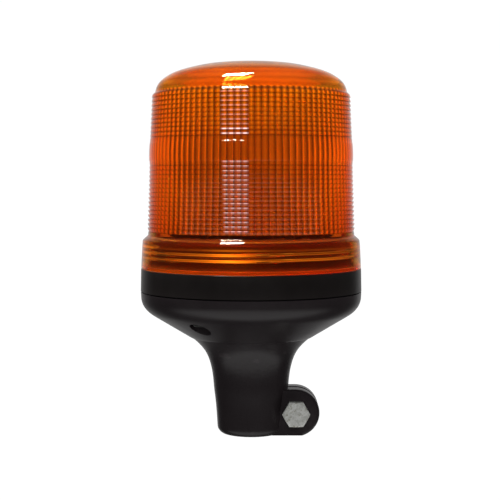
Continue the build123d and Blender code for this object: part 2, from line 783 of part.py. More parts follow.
# can standing on the chassis plate, with a raised lip round its top
suppressor = turned(
    (0, plate_top + 0.02), (4.6, plate_top + 0.02), (4.6, 98.6), (4.2, 99.2),
    (3.4, 99.2), (3.4, 98.8), (0, 98.8),
)
save(suppressor, "suppressor", (39.0, -5.0, 0))
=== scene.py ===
"""Amber beacon: a ribbed lens over a bulb and reflector, on a base with a flexible rubber mount.
It stands upright along +Z with its axis at the origin; the camera looks at it from -Y.
Scene units are metres; the lens outlines are in millimetres."""
import bpy
import bmesh
import json
import math
import numpy as np
from dataclasses import dataclass
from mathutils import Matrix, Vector


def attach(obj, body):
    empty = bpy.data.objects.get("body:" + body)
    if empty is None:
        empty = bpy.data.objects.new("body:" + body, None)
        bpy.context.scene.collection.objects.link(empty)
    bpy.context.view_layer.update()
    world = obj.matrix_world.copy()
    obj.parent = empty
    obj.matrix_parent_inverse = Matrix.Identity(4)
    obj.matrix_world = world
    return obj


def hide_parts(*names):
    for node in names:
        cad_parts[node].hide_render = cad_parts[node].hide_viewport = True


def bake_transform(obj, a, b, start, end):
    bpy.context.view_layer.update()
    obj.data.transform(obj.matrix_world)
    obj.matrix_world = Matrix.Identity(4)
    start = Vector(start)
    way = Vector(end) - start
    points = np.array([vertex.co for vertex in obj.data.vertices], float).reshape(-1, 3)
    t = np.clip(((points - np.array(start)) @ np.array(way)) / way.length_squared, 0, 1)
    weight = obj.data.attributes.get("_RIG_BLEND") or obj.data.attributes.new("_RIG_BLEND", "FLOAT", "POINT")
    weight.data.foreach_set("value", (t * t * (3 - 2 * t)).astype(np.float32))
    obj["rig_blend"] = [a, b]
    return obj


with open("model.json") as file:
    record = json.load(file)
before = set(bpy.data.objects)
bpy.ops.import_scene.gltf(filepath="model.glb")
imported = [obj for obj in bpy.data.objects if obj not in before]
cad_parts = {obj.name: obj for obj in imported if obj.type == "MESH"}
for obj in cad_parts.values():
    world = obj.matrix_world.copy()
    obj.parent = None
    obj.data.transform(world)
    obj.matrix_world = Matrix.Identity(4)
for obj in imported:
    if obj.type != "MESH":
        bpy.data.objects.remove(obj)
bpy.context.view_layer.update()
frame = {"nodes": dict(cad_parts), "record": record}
NODES = frame["nodes"]
SLOT = {part["node"]: part["material_slot"] for part in frame["record"]["subparts"]}

MM = 0.001
# lens, mm
RING_PITCH = 2.33         # prism rings round the outside
UPPER_RINGS_Z = 159.4     # foot of the upper stack
LOWER_RINGS_Z = 146.4     # top of the lower stack
UPPER_RINGS, LOWER_RINGS = 10, 16
FLUTES = 92               # ribs round the inside
FLUTE_DEPTH = 0.9
THREAD_WALL = 55.6        # radius of the collar's inside
THREAD_DEPTH = 1.0
THREAD_START_Z = 94.1
THREAD_PITCH, THREAD_TURNS = 3.0, 2.6
# metres
SEAM_Z = 0.0771           # joint line of base and mount
SHADED_ABOVE_Z = 0.055            # zinc parts above this height, the screws down in their holes, are painted near black as shade
BOWL_FOCUS, BOWL_Z = 0.018, 0.147
# overhead softbox: a row of bars, turned in degrees
BARS = dict(count=4, x=-0.165, y=0.07, z=1.15, pitch=0.070, width=0.046, length=0.34, turn=-22.0)


# ==================================== node helpers ====================================
class Nodes:
    """Builds the node tree of one material or world."""

    def __init__(self, block, output_kind):
        block.use_nodes = True
        self.block = block
        self.tree = block.node_tree
        self.tree.nodes.clear()
        self.surface = self.tree.nodes.new(output_kind).inputs["Surface"]

    def put(self, socket, value):
        if isinstance(value, bpy.types.NodeSocket):
            self.tree.links.new(value, socket)
        elif socket.type == "RGBA":
            socket.default_value = (*value, 1.0)
        else:
            socket.default_value = value

    def node(self, kind, **settings):
        """_name sets a property, i0 an input by number, Some__Name the input "Some Name"."""
        node = self.tree.nodes.new(kind)
        for key, value in settings.items():
            if key.startswith("_"):
                setattr(node, key[1:], value)
                continue
            numbered = key[0] == "i" and key[1:].isdigit()
            self.put(node.inputs[int(key[1:]) if numbered else key.replace("__", " ")], value)
        return node

    def output(self, kind, **settings):
        return self.node(kind, **settings).outputs[0]

    def position(self):
        return self.node("ShaderNodeTexCoord").outputs["Object"]

    def xyz(self, vector):
        return self.node("ShaderNodeSeparateXYZ", Vector=vector).outputs

    def height(self):
        return self.xyz(self.position())[2]

    def light_path(self, question):
        return self.node("ShaderNodeLightPath").outputs[question]

    def attribute(self, name, out="Fac"):
        return self.node("ShaderNodeAttribute", _attribute_name=name).outputs[out]

    def noise(self, scale, detail=4.0, rough=0.55, vector=None):
        vector = self.position() if vector is None else vector
        return self.output("ShaderNodeTexNoise", Vector=vector, Scale=scale, Detail=detail,
                           Roughness=rough)

    def math(self, operation, a, b=0.0):
        return self.output("ShaderNodeMath", _operation=operation, i0=a, i1=b, i2=0.0)

    def add(self, a, b):
        return self.math("ADD", a, b)

    def sub(self, a, b):
        return self.math("SUBTRACT", a, b)

    def mul(self, a, b):
        return self.math("MULTIPLY", a, b)

    def div(self, a, b):
        return self.math("DIVIDE", a, b)

    def abs(self, a):
        return self.math("ABSOLUTE", a)

    def remap(self, value, span, to=(0.0, 1.0)):
        return self.output("ShaderNodeMapRange", Value=value, From__Min=span[0],
                           From__Max=span[1], To__Min=to[0], To__Max=to[1])

    def drift(self, noise, low=0.0, high=1.0):
        """Stretches the usual span of a noise to low..high."""
        return self.remap(noise, span=(0.3, 0.7), to=(low, high))

    def mix(self, factor, a, b):
        node = self.node("ShaderNodeMix", _data_type="RGBA", i0=factor, i6=a, i7=b)
        return node.outputs[2]

    def bump(self, height, strength, dist, normal=None):
        below = {} if normal is None else {"Normal": normal}
        return self.output("ShaderNodeBump", Height=height, Strength=strength, Distance=dist,
                           **below)

    def principled(self, **settings):
        return self.output("ShaderNodeBsdfPrincipled", **settings)

    def mix_shader(self, factor, a, b):
        return self.output("ShaderNodeMixShader", i0=factor, i1=a, i2=b)

    def add_shader(self, a, b):
        return self.output("ShaderNodeAddShader", i0=a, i1=b)

    def clear_to_shadows(self, shader, tint):
        """Lets light through to what is inside, by way of the shadow rays."""
        clear = self.output("ShaderNodeBsdfTransparent", Color=tint)
        return self.mix_shader(self.light_path("Is Shadow Ray"), shader, clear)

    def done(self, shader):
        self.put(self.surface, shader)
        return self.block


def new_material(name):
    return Nodes(bpy.data.materials.new(name), "ShaderNodeOutputMaterial")


# ================================== general materials ==================================
def plastic(name, dark, light, rough, grain, grain_bump, spec=0.5, wear=0.12, wear_col=None,
            seam=None):
    """Moulded plastic or rubber: fine grain, slow tone drift, paler worn edges; seam is the height of a
    joint line drawn with painted shade.
    """
    m = new_material(name)
    slow = m.noise(scale=38, detail=3)
    fine = m.noise(scale=grain, detail=2, rough=0.5)
    streak = m.noise(scale=900, detail=2, rough=0.6)
    color = m.mix(m.drift(slow), dark, light)
    pointiness = m.node("ShaderNodeNewGeometry").outputs["Pointiness"]
    edge = m.output("ShaderNodeMath", _operation="MULTIPLY", _use_clamp=True,
                    i0=m.remap(pointiness, span=(0.52, 0.60)), i1=wear, i2=0.0)
    color = m.mix(edge, color, wear_col or [min(1, c * 3.2 + 0.02) for c in light])
    if seam is not None:      # painted shade in the joint line between base and mount
        clear_of_seam_shade = m.remap(m.abs(m.sub(m.height(), seam)), span=(0.00018, 0.00042))
        color = m.mix(clear_of_seam_shade, (0.002, 0.002, 0.002), color)
        spec = m.mul(clear_of_seam_shade, spec)
    roughness = m.add(m.drift(slow, *rough), m.mul(streak, 0.05))
    normal = m.bump(fine, strength=grain_bump, dist=0.00006)
    normal = m.bump(m.noise(scale=260, detail=3), strength=0.05, dist=0.0003, normal=normal)
    return m.done(m.principled(Base__Color=color, Roughness=roughness, Normal=normal,
                               Specular__IOR__Level=spec))


def metal(name, dark, light, rough, brushed=None, mottle=420, bump=0.10, speck=None,
          metallic=1.0, shaded_above=None, spread=0.18):
    """Mottled metal with fine pitting; brushed is the noise scale per axis of its scratches. Recesses get
    painted shade, and so does everything above a given height.
    """
    m = new_material(name)
    cell = m.noise(scale=mottle, detail=5, rough=0.62)
    pits = m.output("ShaderNodeTexVoronoi", Vector=m.position(), Scale=1150)
    color = m.mix(m.remap(cell, span=(0.5 - spread, 0.5 + spread)), dark, light)
    if speck:
        spot = m.remap(m.noise(scale=620, detail=3, rough=0.5), span=(0.56, 0.66))
        color = m.mix(m.mul(spot, 0.62), color, speck)
    # painted shade in the recesses: ambient occlusion darkens the colour
    painted_shade_color = [c * 0.05 for c in dark]
    open_sky = m.node("ShaderNodeAmbientOcclusion", _samples=4, Distance=0.006).outputs["AO"]
    color = m.mix(m.math("POWER", open_sky, 2.2), painted_shade_color, color)
    if shaded_above is not None:      # painted near black as shade above this height, bright below
        color = m.mix(m.math("GREATER_THAN", m.height(), shaded_above), color, painted_shade_color)
    relief = m.add(m.mul(cell, 0.6), m.mul(pits, 0.2))
    if brushed:
        stretched = m.output("ShaderNodeMapping", Vector=m.position(), Scale=brushed)
        scratches = m.noise(scale=1.0, detail=3, rough=0.6, vector=stretched)
        relief = m.add(relief, m.mul(scratches, 0.8))
    roughness = m.add(m.drift(cell, *rough), m.mul(pits, 0.06))
    return m.done(m.principled(Base__Color=color, Metallic=metallic, Roughness=roughness,
                               Normal=m.bump(relief, strength=bump, dist=0.0001)))


# =================================== amber material ===================================
def crest_glint(m):
    """Hairline reflection of the overhead bars on the prism crests, which are too fine to
    model as a curve. The attribute "edge" marks the crests."""
    def vector(operation, *values):
        inputs = {f"i{k}": value for k, value in enumerate(values)}
        return m.output("ShaderNodeVectorMath", _operation=operation, **inputs)

    # the crest's normal leans half outwards, half up
    outwards = vector("NORMALIZE", vector("MULTIPLY", m.position(), (1, 1, 0)))
    normal = vector("NORMALIZE", vector("ADD", outwards, (0, 0, 1.0)))
    normal = m.output("ShaderNodeVectorTransform", _vector_type="NORMAL",
                      _convert_from="OBJECT", _convert_to="WORLD", Vector=normal)
    geometry = m.node("ShaderNodeNewGeometry").outputs
    view = m.output("ShaderNodeVectorMath", _operation="SCALE", i0=geometry["Incoming"],
                    Scale=-1.0)
    ray_x, ray_y, ray_z = m.xyz(vector("REFLECT", view, normal))
    x, y, z = m.xyz(geometry["Position"])
    # where the mirrored ray meets the plane of the bars, from their middle
    reach = m.div(m.sub(BARS["z"], z), m.math("MAXIMUM", ray_z, 0.05))
    hit_x = m.sub(m.add(x, m.mul(ray_x, reach)), BARS["x"])
    hit_y = m.sub(m.add(y, m.mul(ray_y, reach)), BARS["y"])
    length, pitch = BARS["length"], BARS["pitch"]
    past_end = m.remap(m.abs(hit_y), span=(length * 0.46, length * 0.56))
    along = m.sub(1.0, past_end)
    off_middle = m.abs(m.sub(m.math("FRACT", m.div(hit_x, pitch)), 0.5))
    bar = m.remap(off_middle, span=(0.20, 0.34), to=(1.0, 0.28))
    in_row = m.math("LESS_THAN", m.abs(hit_x), pitch * BARS["count"] / 2)
    glint = m.mul(m.mul(along, bar), m.mul(in_row, m.attribute("edge")))
    glint = m.mul(glint, m.light_path("Is Camera Ray"))
    return m.output("ShaderNodeEmission", Color=(1.0, 0.93, 0.96), Strength=m.mul(glint, 0.80))


def ring_rows(m):
    """Strength of the painted glow in place of carried light: each prism ring draws it into its own bright
    row.
    """
    z = m.height()
    upper = m.math("GREATER_THAN", z, 0.1586)
    lower = m.math("LESS_THAN", z, 0.1465)
    foot = m.add(LOWER_RINGS_Z * MM, m.mul(upper, (UPPER_RINGS_Z - LOWER_RINGS_Z) * MM))
    phase = m.math("FRACT", m.div(m.sub(z, foot), RING_PITCH * MM))
    off_middle = m.abs(m.sub(m.mul(phase, 2.0), 1.0))
    lower_depth = m.remap(z, span=(0.110, 0.147), to=(0.90, 0.45))
    depth = m.add(m.mul(upper, 1.42), m.mul(lower, lower_depth))
    peak = m.add(1.12, m.mul(upper, 0.36))
    return m.sub(peak, m.mul(depth, m.math("POWER", off_middle, 1.5)))


def amber_material():
    """Clear amber polycarbonate. The attribute "haze" is the share of the skin that scatters,
    "shade" paints shade into the grooves, and the painted glow is an emission in place of the light the wall
    carries to its ribs and thread."""
    m = new_material("amber_polycarbonate")
    ior = 1.585
    flow = m.noise(scale=60, detail=3)
    tint = m.mix(m.drift(flow), (0.95, 0.33, 0.022), (0.96, 0.36, 0.03))
    patches = m.remap(m.noise(scale=240, detail=3), span=(0.5, 0.8))
    rough = m.add(0.010, m.mul(patches, 0.02))
    normal = m.bump(m.noise(scale=700, detail=2), strength=0.03, dist=0.0002)
    # painted shade: the grooves and the gaps between flutes darken the tint
    tint = m.mix(m.attribute("shade"), (0.06, 0.003, 0.0), tint)
    clear = m.principled(Base__Color=tint, Transmission__Weight=1.0, IOR=ior, Roughness=rough,
                         Normal=normal, Specular__IOR__Level=0.5,
                         Specular__Tint=(1.0, 0.80, 0.58))
    # scattering skin
    glow_color = m.mix(m.drift(flow), (0.95, 0.20, 0.004), (0.96, 0.24, 0.006))
    translucent = m.output("ShaderNodeBsdfTranslucent", Color=glow_color)
    diffuse = m.output("ShaderNodeBsdfDiffuse", Color=(0.90, 0.19, 0.008))
    body = m.mix_shader(0.35, translucent, diffuse)
    fresnel = m.output("ShaderNodeFresnel", IOR=ior, Normal=normal)
    gloss = m.output("ShaderNodeBsdfGlossy", Color=(1, 1, 1), Roughness=rough, Normal=normal)
    skin = m.mix_shader(fresnel, body, gloss)
    wall = m.mix_shader(m.attribute("haze"), clear, skin)

    # painted glow: an emission in place of the light the wall carries, set in rows and a little uneven
    uneven = m.drift(m.noise(scale=45, detail=3), low=0.8, high=1.2)
    pipe = m.output("ShaderNodeEmission", Color=m.attribute("pipe", out="Color"),
                    Strength=m.mul(ring_rows(m), uneven))
    lit = m.add_shader(m.add_shader(wall, pipe), crest_glint(m))
    return m.done(m.clear_to_shadows(lit, tint=(0.96, 0.50, 0.14)))


# ============================== bulb and reflector materials ==============================
def bulb_material():
    m = new_material("quartz_glass")
    glass = m.principled(
        Base__Color=(0.97, 0.98, 0.99), Transmission__Weight=1.0, IOR=1.46,
        Roughness=m.mul(m.noise(scale=900, detail=2), 0.03),
        Normal=m.bump(m.noise(scale=420, detail=2), strength=0.05, dist=0.0002))
    return m.done(m.clear_to_shadows(glass, tint=(0.95, 0.95, 0.96)))


def reflector_material():
    """Metallised on the bowl's face only; the back and the legs are bare black moulding."""
    m = new_material("reflector_metallised_bowl")
    x, y, z = m.xyz(m.position())
    rise = m.sub(z, BOWL_Z)
    radius_squared = m.add(m.mul(x, x), m.mul(rise, rise))
    # y of the bowl's inner face, a paraboloid opening to +Y
    face_y = m.sub(m.div(radius_squared, 4 * BOWL_FOCUS), BOWL_FOCUS)
    on_face = m.math("LESS_THAN", m.abs(m.sub(y, face_y)), 0.0006)
    haze = m.noise(scale=300, detail=4)
    mirror = m.principled(
        Base__Color=m.mix(haze, (0.80, 0.80, 0.80), (0.9, 0.9, 0.89)), Metallic=1.0,
        Roughness=m.drift(haze, low=0.05, high=0.12),
        Normal=m.bump(m.noise(scale=160, detail=2), strength=0.05, dist=0.0003))
    tone = m.noise(scale=50, detail=3)
    back = m.principled(
        Base__Color=m.mix(tone, (0.012, 0.011, 0.011), (0.02, 0.019, 0.018)),
        Roughness=m.drift(haze, low=0.30, high=0.42),
        Normal=m.bump(m.noise(scale=4200, detail=2), strength=0.1, dist=0.00008))
    return m.done(m.mix_shader(on_face, back, mirror))


# ================================ materials by slot name ================================
MAT = {
    "amber_lens": amber_material(),
    "seal_rubber": plastic(
        "seal_rubber", dark=(0.012, 0.012, 0.012), light=(0.022, 0.021, 0.022),
        rough=(0.5, 0.62), grain=4200, grain_bump=0.14),
    "black_plastic": plastic(
        "base_black_plastic", dark=(0.0165, 0.0135, 0.0130), light=(0.0215, 0.0180, 0.0174),
        rough=(0.27, 0.36), grain=4800, grain_bump=0.06, spec=0.32, wear=0.25, seam=SEAM_Z),
    "mount_rubber": plastic(
        "mount_black_rubber", dark=(0.0240, 0.0184, 0.0205), light=(0.0290, 0.0228, 0.0250),
        rough=(0.26, 0.33), grain=3600, grain_bump=0.10, wear=0.22, seam=SEAM_Z),
    "zinc_steel": metal(
        "zinc_plated_steel", dark=(0.74, 0.75, 0.70), light=(0.98, 0.99, 0.95),
        rough=(0.34, 0.50), mottle=480, bump=0.22, speck=(0.40, 0.38, 0.28), metallic=0.12,
        shaded_above=SHADED_ABOVE_Z, spread=0.09),
    "contact_nylon": plastic(
        "natural_nylon", dark=(0.60, 0.58, 0.50), light=(0.70, 0.68, 0.61),
        rough=(0.38, 0.5), grain=3200, grain_bump=0.1, wear=0.1, wear_col=(0.8, 0.8, 0.75)),
    "brass": metal(
        "turned_brass", dark=(0.66, 0.46, 0.18), light=(0.80, 0.60, 0.27),
        rough=(0.2, 0.34), brushed=(60, 60, 9000)),
    "bronze": metal(
        "sintered_bronze", dark=(0.42, 0.26, 0.13), light=(0.56, 0.37, 0.19),
        rough=(0.4, 0.55), mottle=1400, bump=0.3),
    "spring_steel": metal(
        "spring_steel", dark=(0.30, 0.30, 0.31), light=(0.44, 0.44, 0.45),
        rough=(0.25, 0.38), brushed=(5000, 5000, 60)),
    "red_wire": plastic(
        "red_insulation", dark=(0.36, 0.012, 0.008), light=(0.50, 0.02, 0.012),
        rough=(0.32, 0.42), grain=2600, grain_bump=0.08, wear=0.1),
    "black_wire": plastic(
        "black_insulation", dark=(0.010, 0.010, 0.010), light=(0.02, 0.02, 0.02),
        rough=(0.32, 0.42), grain=2600, grain_bump=0.08),
    "plated_sheet": metal(
        "plated_sheet_steel", dark=(0.50, 0.49, 0.44), light=(0.64, 0.63, 0.57),
        rough=(0.28, 0.42), brushed=(40, 6000, 6000), mottle=200),
    "natural_acetal": plastic(
        "natural_acetal", dark=(0.66, 0.65, 0.60), light=(0.76, 0.75, 0.71),
        rough=(0.28, 0.38), grain=3000, grain_bump=0.06, wear=0.15,
        wear_col=(0.85, 0.85, 0.82)),
    "ferrite": metal(
        "ground_ferrite", dark=(0.07, 0.07, 0.075), light=(0.12, 0.12, 0.13),
        rough=(0.45, 0.6), brushed=(4000, 4000, 60)),
    "reflector_mirror": reflector_material(),
    "socket_ceramic": plastic(
        "steatite_ceramic", dark=(0.72, 0.69, 0.62), light=(0.80, 0.78, 0.72),
        rough=(0.5, 0.65), grain=2400, grain_bump=0.2, wear=0.1, wear_col=(0.6, 0.56, 0.5)),
    "bulb_glass": bulb_material(),
    "tungsten": metal(
        "coiled_tungsten", dark=(0.22, 0.22, 0.23), light=(0.34, 0.34, 0.35),
        rough=(0.35, 0.5), brushed=(9000, 60, 60)),
    "suppressor_can": plastic(
        "capacitor_sleeve", dark=(0.02, 0.045, 0.16), light=(0.03, 0.065, 0.22),
        rough=(0.28, 0.38), grain=2800, grain_bump=0.06, wear=0.12,
        wear_col=(0.3, 0.34, 0.45)),
}
for node, ob in NODES.items():
    ob.data.materials.clear()
    ob.data.materials.append(MAT[SLOT[node]])


# ==================================== lens outlines ====================================
# (radius, z) in mm
DOME_OUTSIDE = [      # curve from the top pole down
    (0.0, 199.7), (8, 199.55), (16, 199.1), (24.8, 198.2), (32.4, 196.6), (38.5, 194.9),
    (42.8, 193.2), (45.5, 191.6), (47.7, 190.0), (49.6, 188.0), (50.8, 185.6), (51.2, 183.9),
]
DOME_FOOT = [(51.32, 183.40), (51.50, 183.18)]
PLAIN_BAND = [        # between the two stacks of prism rings
    (54.10, 158.4), (54.16, 156.60), (54.30, 156.46), (54.40, 155.8), (54.6, 153.0),
    (54.7, 149.8), (54.66, 147.2),
]
COLLAR_OUTSIDE = [    # below the rings, down to the rim and in under it
    (55.3, 109.2), (55.36, 108.8), (55.42, 107.7), (55.54, 107.25), (55.75, 106.98),
    (56.24, 106.60), (56.78, 106.15), (57.30, 105.68), (57.78, 105.22), (58.10, 104.88),
    (58.28, 104.55), (58.40, 103.4), (58.6, 101.4), (59.0, 93.5), (59.14, 90.4),
    (59.1, 89.85), (58.85, 89.57), (58.0, 89.55), (57.1, 89.57),
]
MOUTH_EDGE = (57.0, 89.7)
MOUTH_RECESS = [(57.0, 91.1), (56.9, 91.25), (55.7, 91.25)]
SHOULDER_INSIDE = [   # from the thread in to the flutes
    (55.45, 104.55), (55.1, 104.8), (53.5, 105.2), (52.0, 105.6), (51.7, 106.4),
    (51.6, 108.4), (51.55, 109.4),
]
DOME_INSIDE = [       # curve from the flutes up to the inner pole
    (48.3, 184.0), (47.0, 186.0), (45.2, 187.8), (43.0, 189.4), (40.6, 190.9), (36.9, 192.4),
    (31.4, 193.9), (24.2, 195.3), (14, 196.25), (6, 196.55), (0.0, 196.6),
]
FLUTE_STATIONS = [    # (z in mm, share of the full depth)
    (110.0, 0.05), (110.25, 0.85), (110.6, 1.0),
    *[(float(z), 1.0) for z in np.linspace(120, 174, 4)],
    (180.6, 1.0), (181.6, 0.9), (182.6, 0.5), (183.4, 0.0),
]
FLUTE_WALL = ((112.0, 51.35), (178.0, 48.9))      # (z, radius) at two points of its taper

# colours of the painted glow
ORANGE, GOLD, YELLOW = (1.0, 0.200, 0.018), (1.0, 0.34, 0.030), (1.0, 0.55, 0.03)

POINTS_ROUND = FLUTES * 4
PHI = np.arange(POINTS_ROUND) * 2 * math.pi / POINTS_ROUND
# 0 on each flute's crest, 1 midway between two flutes
OFF_FLUTE = np.abs(
    np.mod((PHI + math.pi / 2) * FLUTES / (2 * math.pi) + 0.5 + 1e-7, 1.0) * 2 - 1)


@dataclass
class Ring:
    """One row of points round Z; radius, painted shade and painted glow may vary with PHI."""
    radius: object
    z: float
    edge: float = 0.0         # strength of the crest glint
    groove: bool = False
    haze: float = 0.0
    shade: object = 1.0       # painted shade: 1 is clear, 0 dark
    glow: object = 0.0        # painted glow, in place of light carried by the wall
    tone: tuple = ORANGE      # colour of that painted glow


def catmull(points, per):
    """Points refined along a Catmull-Rom curve, per steps to a span."""
    p = np.array(points, float)
    p = np.vstack([2 * p[0] - p[1], p, 2 * p[-1] - p[-2]])
    refined = []
    for a, b, c, d in zip(p, p[1:], p[2:], p[3:]):
        for t in np.arange(per) / per:
            refined.append(0.5 * ((2 * b) + (c - a) * t + (2 * a - 5 * b + 4 * c - d) * t ** 2
                                  + (3 * b - a - 3 * c + d) * t ** 3))
    refined.append(p[-2])
    return [tuple(point) for point in refined]


def upper_prisms():
    """Rings from the top down: valley, swelling face, rounded crest, riser foot."""
    rings = []
    crest_drop = 0.06
    for i in reversed(range(UPPER_RINGS)):
        z = UPPER_RINGS_Z + i * RING_PITCH
        r = 54.05 - i * 0.105
        depth = min(0.95, 0.5 + 0.1 * i)
        edge = 1.5 if i < 2 else 0.35
        rings += [
            Ring(r - depth, z + RING_PITCH - 0.02, groove=True),
            Ring(r - 0.46 * depth, z + 1.75),
            Ring(r - crest_drop - 0.14 * depth, z + 1.20),
            Ring(r - crest_drop, z + 0.50 + crest_drop * 0.4, edge=edge),
            Ring(r, z + 0.50, edge=edge),
            Ring(r, z + 0.22),
            Ring(r - 0.36, z + 0.02, groove=True),
        ]
    return rings


def lower_prisms():
    """Rings from the top down: flat step, crest, swelling face, valley."""
    rings = []
    for i in range(LOWER_RINGS):
        z = LOWER_RINGS_Z - i * RING_PITCH
        r = 54.45 + i * 0.075
        depth = min(0.9, 0.30 + 0.07 * i)
        rings += [
            Ring(r - 0.11, z - 0.06),
            Ring(r, z - 0.12, edge=1.0),
            Ring(r, z - 0.50, edge=0.15),
            Ring(r - 0.40 * depth, z - 1.55),
            Ring(r - depth, z - RING_PITCH - 0.06, groove=True),
        ]
    return rings


def outer_skin():
    """The outside from the top pole to the rim, with painted shade in and beside the grooves."""
    dome = catmull(DOME_OUTSIDE, per=2)
    dome[0] = (0.6, 199.69)
    skin = [Ring(*point) for point in dome + DOME_FOOT]
    skin += upper_prisms()
    skin += [Ring(*point) for point in PLAIN_BAND]
    skin += lower_prisms()
    skin += [Ring(*point) for point in COLLAR_OUTSIDE]
    for k, ring in enumerate(skin):
        z = ring.z
        ring.haze = 0.14 if z > 183.2 else 0.06 if z > 109.2 else 0.02 if z > 90.6 else 0.5
        if ring.groove:
            ring.shade = 0.03
        elif any(near.groove for near in skin[max(k - 1, 0):k + 2]):
            ring.shade = 0.45 if z > UPPER_RINGS_Z else 0.72
    return skin


def thread_rise(z):
    """Height round PHI of the helical ridge inside the collar: one start, right-handed."""
    rise = np.zeros(PHI.shape)
    end = 2 * math.pi * THREAD_TURNS
    for turn in range(math.ceil(THREAD_TURNS)):
        angle = PHI + 2 * math.pi * turn
        ridge_z = THREAD_START_Z + THREAD_PITCH * angle / (2 * math.pi)
        fade = np.clip(angle / 0.25, 0, 1) * np.clip((end - angle) / 0.25, 0, 1)
        flank = np.clip((0.75 - np.abs(z - ridge_z)) / 0.40, 0, 1)
        flank = flank * flank * (3 - 2 * flank)
        rise += np.where(angle <= end, THREAD_DEPTH * flank * fade, 0.0)
    return rise


def thread_rings():
    """The collar's threaded wall, upwards; its ridge and two level lines carry a painted glow, with a
    painted highlight strongest on two opposite sides.
    """
    # painted highlight: two opposite lobes round PHI, one to the front left under the overhead bars
    lit_side_highlight = 0.38 + 1.15 * np.maximum(0, np.cos(2 * (PHI + 1.75))) ** 10
    rings = []
    for z in map(float, np.arange(91.4, 104.2, 0.5)):
        rise = thread_rise(z)
        lines = (math.exp(-((z - 101.7) / 0.42) ** 2)
                 + 0.35 * math.exp(-((z - 98.0) / 0.2) ** 2))
        ridge = np.clip(rise / THREAD_DEPTH, 0, 1) ** 6
        glow = (0.015 + 0.55 * lines + 0.62 * ridge) * lit_side_highlight
        rings.append(Ring(THREAD_WALL - rise, z, haze=0.10, glow=glow, tone=GOLD))
    return rings


def flute_rings():
    """Small convex ribs standing in from the tapering wall, upwards, with a painted glow on each rib and
    painted shade between them.
    """
    (low_z, low_r), (high_z, high_r) = FLUTE_WALL
    rings = []
    for z, share in FLUTE_STATIONS:
        wall = low_r - (z - low_z) * (low_r - high_r) / (high_z - low_z)
        top = float(np.clip((z - 158) / 20, 0, 1))      # the painted glow gets brighter and yellower to the top
        glow = (0.34 + 0.44 * top) * (
            1 - 0.99 * OFF_FLUTE ** (1.3 - 0.3 * top)) ** (1 + 0.8 * top)
        rings.append(Ring(wall - share * FLUTE_DEPTH * (1 - OFF_FLUTE * OFF_FLUTE), z,
                          haze=0.08, shade=1 - 0.92 * OFF_FLUTE ** 3, glow=glow,
                          tone=(1.0, 0.270 + 0.17 * top, 0.014)))
    return rings


def lens_rings():
    """The closed outline: down the outside, up the inside to the inner pole."""
    dome = catmull(DOME_INSIDE, per=2)
    dome[-1] = (0.6, 196.6)
    return [
        *outer_skin(),
        Ring(*MOUTH_EDGE),
        # a faint painted glow in the mouth's recess
        *[Ring(*point, haze=0.4, glow=0.10) for point in MOUTH_RECESS],
        *thread_rings(),
        *[Ring(*point) for point in SHOULDER_INSIDE],
        *flute_rings(),
        # a faint yellow painted glow and some painted shade on the inner dome
        *[Ring(*point, haze=0.12, shade=0.72, glow=0.08, tone=YELLOW) for point in dome],
    ]


def add_attribute(mesh, name, values, at_poles):
    """One number per point: the rings' values, then the two poles'."""
    values = np.concatenate([*[np.broadcast_to(v, PHI.shape) for v in values], at_poles])
    attribute = mesh.attributes.new(name, "FLOAT", "POINT")
    attribute.data.foreach_set("value", values.astype(np.float32))


def build_lens():
    rings = lens_rings()
    n = POINTS_ROUND
    rows = [np.stack([ring.radius * np.cos(PHI), ring.radius * np.sin(PHI),
                      np.full(PHI.shape, ring.z)], 1) for ring in rings]
    poles = [[0, 0, rings[0].z], [0, 0, rings[-1].z]]
    verts = np.vstack([*rows, poles]) * MM

    i = np.arange(n)
    j = (i + 1) % n
    faces = []
    for start in range(0, (len(rings) - 1) * n, n):
        below = start + n
        faces += np.stack([start + j, start + i, below + i, below + j], 1).tolist()
    last = (len(rings) - 1) * n
    pole = len(rings) * n
    faces += np.stack([i, j, np.full(n, pole)], 1).tolist()
    faces += np.stack([last + j, last + i, np.full(n, pole + 1)], 1).tolist()

    mesh = bpy.data.meshes.new("lens_amber")
    mesh.from_pydata(verts.tolist(), [], faces)
    mesh.validate()
    mesh.update()
    ob = bpy.data.objects.new("lens_amber", mesh)
    bpy.context.scene.collection.objects.link(ob)
    mesh.materials.append(MAT["amber_lens"])
    smooth(mesh, sharp=33)

    add_attribute(mesh, "edge", [ring.edge for ring in rings], at_poles=[0, 0])
    add_attribute(mesh, "haze", [ring.haze for ring in rings],
                  at_poles=[rings[0].haze, rings[-1].haze])
    add_attribute(mesh, "shade", [ring.shade for ring in rings], at_poles=[1, 1])
    # colour of the painted glow at each point
    painted_glow_colors = np.zeros((len(verts), 4), np.float32)
    painted_glow_colors[:, 3] = 1
    painted_glow_colors[:-2, :3] = np.concatenate(
        [np.outer(np.broadcast_to(ring.glow, PHI.shape), ring.tone) for ring in rings])
    pipe = mesh.attributes.new("pipe", "FLOAT_COLOR", "POINT")
    pipe.data.foreach_set("color", painted_glow_colors.ravel())
    return ob


def smooth(mesh, sharp):
    """Smooth shading, with edges beyond the angle (degrees) kept sharp."""
    mesh.polygons.foreach_set("use_smooth", [True] * len(mesh.polygons))
    mesh.set_sharp_from_angle(angle=math.radians(sharp))


lens = build_lens()
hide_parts("lens")
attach(lens, "lens_cover")


# ============================== parts that bend or shorten ==============================
SLICES = dict(low=0.033, high=0.059, step=0.001)      # cuts through the neck's bending zone
BEND_START, BEND_END = (0, 0, 0.036), (0, 0, 0.056)
COIL_END = 0.0006         # length of each end of the spring that stays rigid


def linked_copy(node, name):
    ob = bpy.data.objects.new(name, NODES[node].data.copy())
    ob.data.name = name
    bpy.context.scene.collection.objects.link(ob)
    return ob


